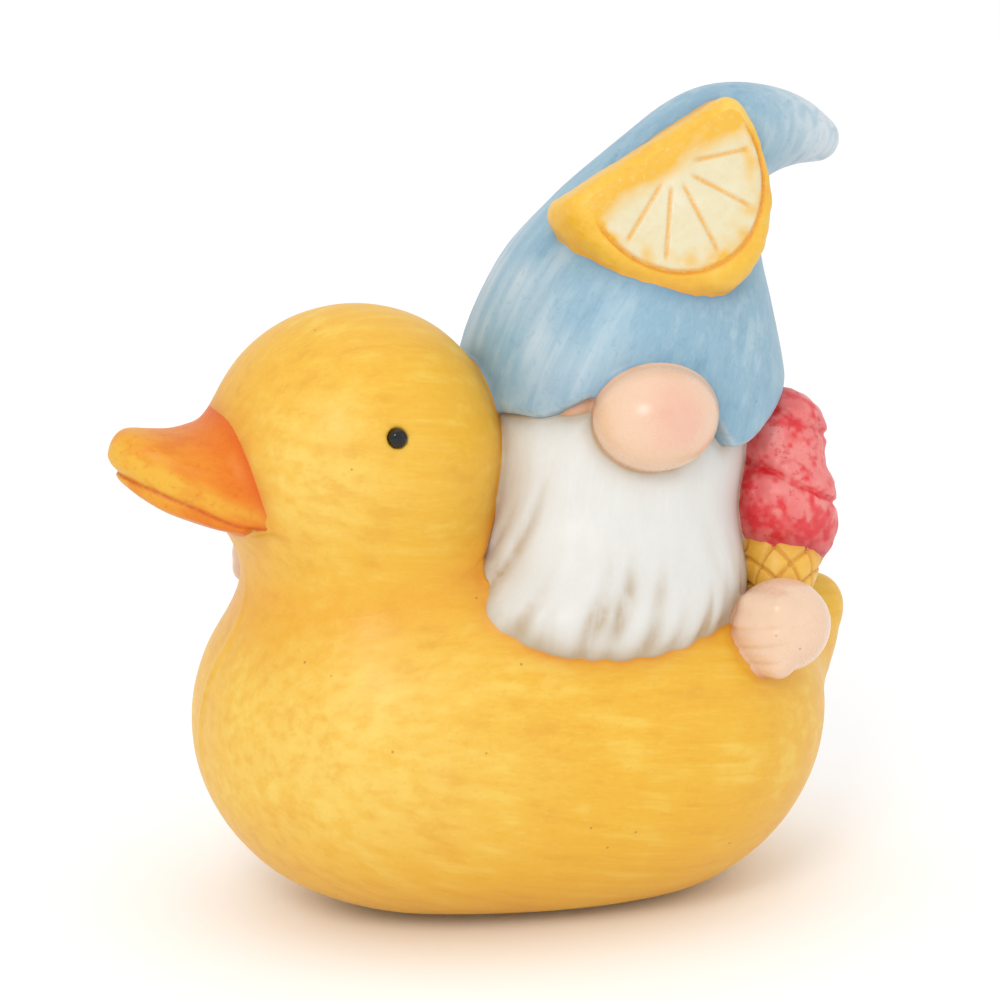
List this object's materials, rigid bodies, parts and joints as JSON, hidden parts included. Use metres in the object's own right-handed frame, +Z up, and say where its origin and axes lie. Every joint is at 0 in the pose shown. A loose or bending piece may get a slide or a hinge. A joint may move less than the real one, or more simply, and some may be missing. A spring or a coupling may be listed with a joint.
{
  "type": "garden gnome ornament",
  "caption": "Garden gnome in a tall curled hat with a citrus slice, riding a bathing duck and holding an ice cream cone.",
  "frame": {"origin": "middle of the duck's flat base, on the surface that it stands on", "axes": "+Z up, the gnome's face towards -Y, the duck's beak towards -X"},
  "size_m": [0.1407, 0.0824, 0.1448],
  "materials": {
    "duck_glaze": "satin hand-brushed yellow paint with fine streaks and deeper ochre in the creases",
    "beak_glaze": "satin orange paint, paler at the tip and redder at the root",
    "eye_bead": "glossy black bead",
    "suit_paint": "satin brushed blue paint",
    "skin_paint": "satin pale skin paint with a soft pink blush",
    "beard_paint": "satin white paint with a thin brown wash in its grooves",
    "hat_paint": "satin light blue paint, dry-brushed with white",
    "rind_paint": "satin orange-yellow paint",
    "flesh_paint": "satin cream paint, yellow towards the rim, with orange in the incised lines",
    "scoop_paint": "satin coral red paint, dry-brushed with pale pink",
    "waffle_paint": "satin golden paint with darker incised cross lines"
  },
  "bodies": {
    "root": {"duck_body": "duck_glaze", "duck_head": "duck_glaze", "duck_tail": "duck_glaze", "beak_upper": "beak_glaze", "beak_lower": "beak_glaze", "eye_left": "eye_bead", "eye_right": "eye_bead", "gnome_body": "suit_paint", "arm_left": "suit_paint", "arm_right": "suit_paint", "face": "skin_paint", "nose": "skin_paint", "hand_left": "skin_paint", "hand_right": "skin_paint", "beard": "beard_paint", "hat": "hat_paint", "lemon_rind": "rind_paint", "lemon_flesh": "flesh_paint", "ice_cream": "scoop_paint", "waffle_cone": "waffle_paint"}
  },
  "joints": []
}
